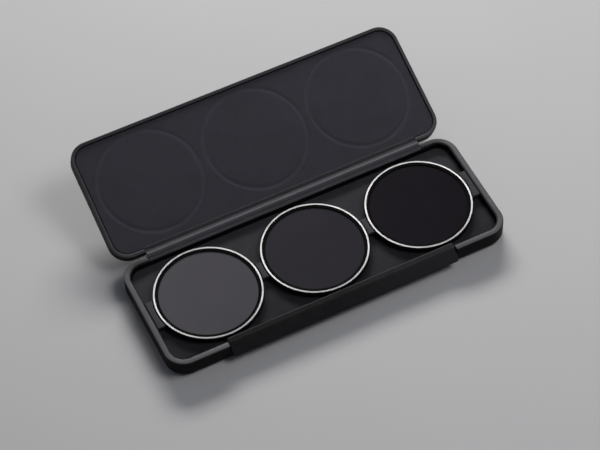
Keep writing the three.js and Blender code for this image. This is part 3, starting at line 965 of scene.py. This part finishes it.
def lid_lining():
    """The padded panel: fabric over foam, crowned, rolled over at its edges and marked by the
    rings."""
    heights = crown_heights()
    centre_y, half_y = middle_and_half(LINING_LOW.y, LINING_HIGH.y)
    outline = (LINING_HIGH.x + LINING_SPREAD, half_y + LINING_SPREAD, LINING_CORNER)
    rows = []
    for y0 in spaced(outline[1], LINING_STEP, BORDER_STEPS):
        row = []
        for x0 in spaced(outline[0], LINING_STEP, BORDER_STEPS):
            x, y = round_corner(x0, y0, *outline)
            depth = max(0.0, inside_by(x, y, *outline))
            rest = LINING_ROUND - min(depth, LINING_ROUND)
            roll = LINING_ROUND - math.sqrt(max(0.0, LINING_ROUND ** 2 - rest ** 2))
            z = LINING_LOW.z + roll - LINING_CROWN * crown_at(heights, x, y)
            z += LINING_WAVE * ripple(x, y, 13, 4.0) * ease(depth / 4)
            for centre in FILTER_X.values():
                off = abs(math.hypot(x - centre, y + centre_y) - MARK_RADIUS)
                z += MARK_DEPTH * (1 - ease(off / MARK_WIDTH))
            row.append((x, y + centre_y, z))
        rows.append(row)
    points, faces = skin(rows)
    across, down = len(rows[0]), len(rows)
    border = list(range(across))
    border += [j * across + across - 1 for j in range(1, down)]
    border += [(down - 1) * across + i for i in range(across - 2, -1, -1)]
    border += [j * across for j in range(down - 2, 0, -1)]
    start, count = len(points), len(border)
    points += [(*points[i][:2], BOARD_Z - LINING_GAP) for i in border]
    for i in range(count):
        after = (i + 1) % count
        faces.append((border[i], border[after], start + after, start + i))
    faces.append(tuple(range(start, start + count)))
    made = piece("lid_lining_panel", (points, faces), LINING, ["lid_lining", "lid_foam"],
                 turn=LID_OPENED)
    back = LID_OPENED.inverted()
    lay_uv(made, lambda co: (back @ co).xy)
    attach(made, "lid")


# ---- Soft pieces that cross a joint --------------------------------------------------------------

def swept(section_at, stations):
    """A closed section carried along X. section_at(x) gives (y, z) pairs."""
    sections = [section_at(x) for x in stations]
    rows = [[(x, *place) for x, place in zip(stations, row)] for row in zip(*sections)]
    return skin(rows, tube=True, caps=True)


def pulled_in(section, half, x, reach=0.8, amount=0.3):
    """The section near an end, drawn towards its middle so that the end is rounded."""
    near = 1 - min(1.0, (half - abs(x)) / reach)
    pull = amount * (1 - math.sqrt(max(0.0, 1 - near * near)))
    cy = sum(y for y, _ in section) / len(section)
    cz = sum(z for _, z in section) / len(section)
    length = max(math.hypot(y - cy, z - cz) for y, z in section)
    return [(y + (cy - y) * pull / length, z + (cz - z) * pull / length) for y, z in section]


def hermite(start, start_way, end, end_way, steps):
    """A smooth curve between two points in the Y-Z plane, without its first point."""
    points = []
    for i in range(1, steps + 1):
        t = i / steps
        cubes = 2 * t ** 3 - 3 * t ** 2
        shares = (cubes + 1, t ** 3 - 2 * t ** 2 + t, -cubes, t ** 3 - t ** 2)
        knots = (start, start_way, end, end_way)
        points.append(tuple(sum(share * knot[a] for share, knot in zip(shares, knots))
                            for a in (0, 1)))
    return points


def between(start, end, share, lift=0.0):
    """A point part of the way from start to end in the Y-Z plane, raised by lift."""
    return start[0] + (end[0] - start[0]) * share, start[1] + (end[1] - start[1]) * share + lift


def hinge_strap():
    """One strip glued to the base's back wall and into the lid's rim, with a soft bead on the
    hinge."""
    half = STRAP_HIGH.x
    inner, under = STRAP_LOW.y, STRAP_LOW.z
    top = under + STRAP_THICKNESS

    def on_lid(y, z):
        return ((LID_OPENED @ (Vector((0, y, z)) * MM)) / MM).yz

    near, far = on_lid(LEAF_HIGH.y, LEAF_LOW.z), on_lid(LEAF_LOW.y - 1.2, LEAF_LOW.z + 0.1)
    far_under, near_under = on_lid(LEAF_LOW.y + 0.1, LEAF_HIGH.z), on_lid(LEAF_HIGH.y, LEAF_HIGH.z)
    foot = (HINGE.y - BEAD_FRONT - BEAD_HALF, top + 0.15)
    back_foot = between(near, far, 0.15, 0.05)

    def section(x):
        """From the front edge over the bead to the lid's end, and back underneath."""
        lift = BEAD_WAVE * ripple(x, 0, 9, 1.0)
        crown_y = HINGE.y - BEAD_FRONT + 0.05 * ripple(x, 3, 14, 2.0)
        crown = (crown_y, HINGE.z + BEAD_HEIGHT + lift)
        loop = [(inner, under), (inner, under + 0.15), (inner + 0.3, under + 0.35)]
        loop += [(inner + 1.6, under + 0.5 + lift * 0.5), (foot[0] - 0.6, top + 0.02)]
        loop += hermite(loop[-1], (0.5, 0.05), foot, (0.5, 0.3), 3)
        loop += hermite(foot, (0.6, 1.1), crown, (2.2, 0), 9)
        loop += hermite(crown, (2.0, 0), back_foot, (1.3, -0.1), 9)
        loop += [between(near, far, share, 0.04) for share in (0.35, 0.65, 0.92)]
        loop += [(far[0], far[1] - 0.15), far_under, near_under]
        loop += hermite(near_under, (-0.6, -0.2), (HINGE.y - 1.2, under), (-1.5, 0), 6)
        loop += [(HINGE.y - 2.5, under)]
        return pulled_in(loop, half, x)

    tape = swept(section, spaced(half, STRAP_STEP, STRAP_END_STEPS))
    leaves = ["hinge_strap_base_leaf", "hinge_strap_lid_leaf"]
    made = piece("hinge_strap_tape", tape, STRAP, leaves)
    lay_uv(made, lambda co: (co.x, co.y))
    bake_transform(made)


def flap_leather():
    """One piece of leatherette: tucked inside the wall, rolled over it, creased at the hinge line
    and wrapped round the flap's board."""
    half = FLAP_HIGH.x
    root, reach = FLAP_LOW.z - FLAP_HINGE.z, FLAP_HIGH.z - FLAP_HINGE.z
    upper, under = FLAP_HIGH.y - FLAP_HINGE.y, FLAP_LOW.y - FLAP_HINGE.y
    radius = (upper - under) / 2
    face_start = root + 0.35
    tuck_inner, tuck_low = FOLD_HIGH.y, FOLD_LOW.z
    tuck_outer = SHELL_LOW.y + WALL + TUCK_OVERLAP
    tuck_top = FOLD_HIGH.z - 0.75
    roll_z = FOLD_HIGH.z - FOLD_ROLL + 0.05
    tuck_middle = (tuck_low + roll_z) / 2

    def on_flap(along, height):
        """(y, z) of a place on the drooping flap, along it and above it from its hinge line."""
        cos, sin = math.cos(DROOP), math.sin(DROOP)
        return FLAP_HINGE.y - along * cos - height * sin, FLAP_HINGE.z - along * sin + height * cos

    def section(x):
        """Over the roll and along the top face to the flap's edge, and back underneath."""
        end_gap = half - abs(x)
        off_corner = FLAP_CORNER - min(end_gap, FLAP_CORNER)
        cut = FLAP_CORNER - math.sqrt(max(0.0, FLAP_CORNER ** 2 - off_corner ** 2))
        length = reach - cut
        sag = FLAP_SAG * ease((-x - half * FLAP_SAG_FROM) / (half * (1 - FLAP_SAG_FROM)))
        sag += 0.05 * ripple(x, 0, 17, 8.0)
        wave = 0.06 * ripple(x, 5, 8, 3.0)
        crease = (FLAP_HINGE.y + 0.15, FOLD_HIGH.z - CREASE_DROP + wave * 0.4)
        loop = [(tuck_inner, tuck_low), (tuck_inner, tuck_middle)]
        loop += arc((tuck_inner - FOLD_ROLL, roll_z + wave), FOLD_ROLL, 0, 90, 8)
        loop += hermite(loop[-1], (-0.7, -0.12), crease, (-1.3, -0.1), 7)
        loop += hermite(crease, (-0.5, -0.35), on_flap(face_start, upper + 0.02), (-0.7, -0.55), 4)
        for i in range(1, 15):
            along = face_start + (length - radius - face_start) * i / 14
            share = (along - root) / (reach - root)
            height = upper + FLAP_BULGE * math.sin(math.pi * share)
            height -= FLAP_PRESS_DEPTH * min(1.0, groove(length - along) + groove(end_gap))
            height += wave * share * 0.5 - sag * share ** 2
            loop.append(on_flap(along, height))
        for angle in range(75, -91, -15):
            a = math.radians(angle)
            loop.append(on_flap(length - radius + radius * math.cos(a),
                                upper - radius - sag + radius * math.sin(a)))
        loop += [on_flap(root + (length - radius - root) * share, under)
                 for share in (0.75, 0.5, 0.25)]
        loop += [on_flap(root + 0.25, under + 0.1), on_flap(root, under + 0.5)]
        loop += [(tuck_outer - 1.1, tuck_top), (tuck_outer, tuck_top)]
        loop += [(tuck_outer, tuck_middle), (tuck_outer, tuck_low)]
        return pulled_in(loop, half, x, 0.7, 0.25)

    leather = swept(section, spaced(half, FLAP_STEP, FLAP_END_STEPS))
    made = piece("flap_leather", leather, LEATHER, ["flap_fold", "flap_skin", "flap_lining"])
    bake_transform(made)


def groove(distance):
    """1 on the pressed line inside an edge, fading over a few tenths of a millimetre."""
    return 1 - ease(abs(distance - FLAP_PRESS) / FLAP_PRESS_WIDTH)


# ---- Filters -------------------------------------------------------------------------------------

def thread_row(crest, root, z):
    """A rounded V thread at height z."""
    def place(a):
        phase = z / THREAD_PITCH - a / (2 * math.pi)
        t = abs(2 * (phase - math.floor(phase)) - 1)
        return root + (crest - root) * ease(t), z
    return place


def knurl_row(radius, depth, z):
    def place(a):
        off_ridge = abs(2 * ((a * KNURLS / (2 * math.pi)) % 1) - 1)
        return radius - depth * (1 - ease(off_ridge * KNURL_SLOPE)), z
    return place


def thread_rows(crest, root, start, end, count):
    return [thread_row(crest, root, start + (end - start) * i / count) for i in range(count + 1)]


def filter_ring(number):
    """Male thread below, knurled side, bright top edge, female thread and the glass's seat."""
    low, high = box(f"filter_{number}_ring")
    radius, top, bottom = (high.x - low.x) / 2, high.z, low.z
    glass_low, glass_high = (end.z for end in box(f"filter_{number}_glass"))
    shoulder = DECK_Z + 0.1
    male, bore, clear = radius - MALE_INSET, radius - BORE_INSET, radius - CLEAR_INSET
    male_root = male - MALE_DEPTH
    rim = radius - OUTER_CHAMFER
    seat = glass_low - SEAT_GAP
    thread_top = top - SMALL_CHAMFER
    profile = [(clear, bottom + SMALL_CHAMFER), (clear + SMALL_CHAMFER, bottom)]
    profile += [(male_root - 0.01, bottom)]
    profile += thread_rows(male, male_root, bottom + 0.14, shoulder - 0.3, MALE_ROWS)
    profile += [(male_root - 0.02, shoulder - 0.18), (male_root - 0.02, shoulder)]
    profile += [(radius - 0.2, shoulder), (radius - 0.06, shoulder + 0.06)]
    profile += [(radius, shoulder + 0.2), (radius, shoulder + 0.8)]
    for depth, z in ((0.0, shoulder + 0.85), (0.2, shoulder + 0.95), (KNURL_DEPTH, shoulder + 1.6),
                     (KNURL_DEPTH, shoulder + 2.3), (0.2, top - 1.15), (0.0, top - 1.05)):
        profile.append(knurl_row(radius, depth, z))
    profile += [(radius, top - 1.0), (radius, top - 0.55), (radius - 0.04, top - 0.46)]
    profile += [(rim - 0.05, top - 0.09), (rim - 0.13, top)]
    profile += [(bore + BORE_DEPTH + 0.12, top), (bore + BORE_DEPTH + 0.02, thread_top)]
    profile += thread_rows(bore + BORE_DEPTH, bore, thread_top, thread_top - BORE_THREAD, BORE_ROWS)
    profile += [(bore, top - 0.65), (bore, glass_high)]
    profile += [(clear + SEAT_LIP, glass_high), (clear + SEAT_LIP, seat)]
    profile += [(clear + SMALL_CHAMFER, seat), (clear, seat - SMALL_CHAMFER)]
    x = FILTER_X[number]
    body = f"filter_{number}"
    made = piece(f"{body}_turned_ring", turned(profile, x), ANODISED, [f"{body}_ring"], body)
    made.data.materials.append(BRIGHT)
    made.data.materials.append(RETAINER)
    for polygon in made.data.polygons:
        across = math.hypot(polygon.center.x - x * MM, polygon.center.y) / MM
        if across < bore + 0.4:
            polygon.material_index = 2  # matt inside
        elif across < rim and polygon.center.z > thread_top * MM:
            polygon.material_index = 1  # bright top edge


def filter_retainer(number):
    """The thin ring above the glass, with two notches for a spanner."""
    low, high = box(f"filter_{number}_retainer")
    outer = (high.x - low.x) / 2
    inner = outer - RETAINER_WIDTH
    notch_half = NOTCH_WIDTH / 2 / outer

    def top_row(radius, z):
        def place(a):
            turn = abs((a + math.pi / 2 + number) % math.pi - math.pi / 2)
            inside = 1 - ease((turn - notch_half) / NOTCH_SIDE + 0.5)
            return radius, z - NOTCH_DEPTH * inside
        return place

    profile = [(inner + 0.25, low.z), (outer, low.z)]
    profile += [top_row(outer, high.z - 0.1), top_row(outer - 0.1, high.z)]
    profile += [top_row(inner + 0.3, high.z), top_row(inner + 0.08, high.z - 0.12)]
    profile += [(inner, low.z + 0.2)]
    shape, body = turned(profile, FILTER_X[number]), f"filter_{number}"
    piece(f"{body}_retaining_ring", shape, RETAINER, [f"{body}_retainer"], body)


def filter_glass(number):
    low, high = box(f"filter_{number}_glass")
    radius, edge = (high.x - low.x) / 2, GLASS_CHAMFER
    profile = [(radius - edge, low.z), (radius, low.z + edge)]
    profile += [(radius, high.z - edge), (radius - edge, high.z)]
    disc = turned(profile, FILTER_X[number], GLASS_SEGMENTS, closed=False)
    body = f"filter_{number}"
    piece(f"{body}_tinted_glass", disc, GLASS[number], [f"{body}_glass"], body)


# ---- The case ------------------------------------------------------------------------------------

base_shell()
for side in (-1, 1):
    rim_trim(side)
tray()
pocket_pads()
lid_shell()
lid_lining()
hinge_strap()
flap_leather()
for number in FILTERS:
    filter_ring(number)
    filter_retainer(number)
    filter_glass(number)

HIDDEN = {
    BOARD: ("lid_board", "flap_board"),
    MAGNET: ("lid_magnet_left", "lid_magnet_right", "flap_magnet_left", "flap_magnet_right"),
}
for look, nodes in HIDDEN.items():
    for node in nodes:
        materials = frame["nodes"][node].data.materials
        materials.clear()
        materials.append(look)

# ---- Stage, light and camera, in metres ----------------------------------------------------------

FLOOR_HALF = 40.0
FLOOR_GREY = 0.45
WALL_GLOW = (-0.28, 0.86, 0.42)  # the studio's back wall glows a little, low down and to the left
WORLD_TINT = (0.84, 0.87, 1.0, 1)
WORLD_DIM = 0.1
WORLD_BRIGHT = 0.2
AIM = (0, 0.03, 0)
LIGHTS = (  # name, place, size, power, tint and spread in degrees
    ("softbox_back", (0.45, 1.3, 0.68), (1.0, 0.32), 7.0, (1.0, 0.99, 0.97), 80),
    ("softbox_front", (0.78, -0.3, 1.25), (0.7, 0.6), 8.0, (0.97, 0.97, 1.0), 180),
    ("strip_right", (1.35, 0.1, 0.85), (0.25, 0.9), 0.8, (1.0, 0.98, 0.97), 180),
)

# The camera looks down over the front left corner of the case, as in a product picture.
CAMERA_PLACE = (-0.3373, -0.7364, 1.1504)
CAMERA_ANGLES = (-24.0, 53.95, -2.77)  # azimuth, elevation and roll in degrees
CAMERA_LENS = 133
CAMERA_SENSOR = 36
CAMERA_CLIP = (0.05, 20)


def stage_floor():
    mesh = bpy.data.meshes.new("floor")
    corners = ((-1, -1), (1, -1), (1, 1), (-1, 1))
    mesh.from_pydata([(x * FLOOR_HALF, y * FLOOR_HALF, 0) for x, y in corners], [], [(0, 1, 2, 3)])
    floor = link("floor", mesh)
    look = Look("floor", grey(FLOOR_GREY), 0.9, Specular_IOR_Level=0.0)
    look.tone(look.noise(160, 4), grey(FLOOR_GREY * 0.97), grey(FLOOR_GREY * 1.03))
    floor.data.materials.append(look.material)


def area_light(name, place, size, power, tint, spread):
    data = bpy.data.lights.new(name, "AREA")
    data.spread = math.radians(spread)
    data.shape = "RECTANGLE"
    data.size, data.size_y = size
    data.energy = power
    data.color = tint
    lamp = link(name, data)
    lamp.location = place
    lamp.rotation_euler = (Vector(AIM) - Vector(place)).to_track_quat("-Z", "Y").to_euler()


def studio():
    world = bpy.data.worlds.new("studio")
    world.use_nodes = True
    tree = world.node_tree
    way = tree.nodes.new("ShaderNodeTexCoord").outputs["Generated"]
    dot = tree.nodes.new("ShaderNodeVectorMath")
    dot.operation = "DOT_PRODUCT"
    tree.links.new(way, dot.inputs[0])
    dot.inputs[1].default_value = WALL_GLOW
    strength = tree.nodes.new("ShaderNodeMapRange")
    tree.links.new(dot.outputs["Value"], strength.inputs["Value"])
    strength.inputs["To Min"].default_value = WORLD_DIM
    strength.inputs["To Max"].default_value = WORLD_BRIGHT
    background = tree.nodes["Background"].inputs
    background["Color"].default_value = WORLD_TINT
    tree.links.new(strength.outputs["Result"], background["Strength"])
    bpy.context.scene.world = world
    for light in LIGHTS:
        area_light(*light)


def camera():
    azimuth, elevation, roll = (math.radians(angle) for angle in CAMERA_ANGLES)
    level = Vector((math.cos(azimuth), math.sin(azimuth), 0))
    flat = math.cos(elevation)
    back = Vector((math.sin(azimuth) * flat, -math.cos(azimuth) * flat, math.sin(elevation)))
    upright = back.cross(level)
    right = level * math.cos(roll) + upright * math.sin(roll)
    up = upright * math.cos(roll) - level * math.sin(roll)
    data = bpy.data.cameras.new("camera")
    data.lens = CAMERA_LENS
    data.sensor_width = CAMERA_SENSOR
    data.clip_start, data.clip_end = CAMERA_CLIP
    made = link("camera", data)
    turn = Matrix((right, up, back)).transposed().to_4x4()
    made.matrix_world = Matrix.Translation(CAMERA_PLACE) @ turn
    bpy.context.scene.camera = made


stage_floor()
studio()
camera()
bpy.context.scene.view_settings.view_transform = "Standard"
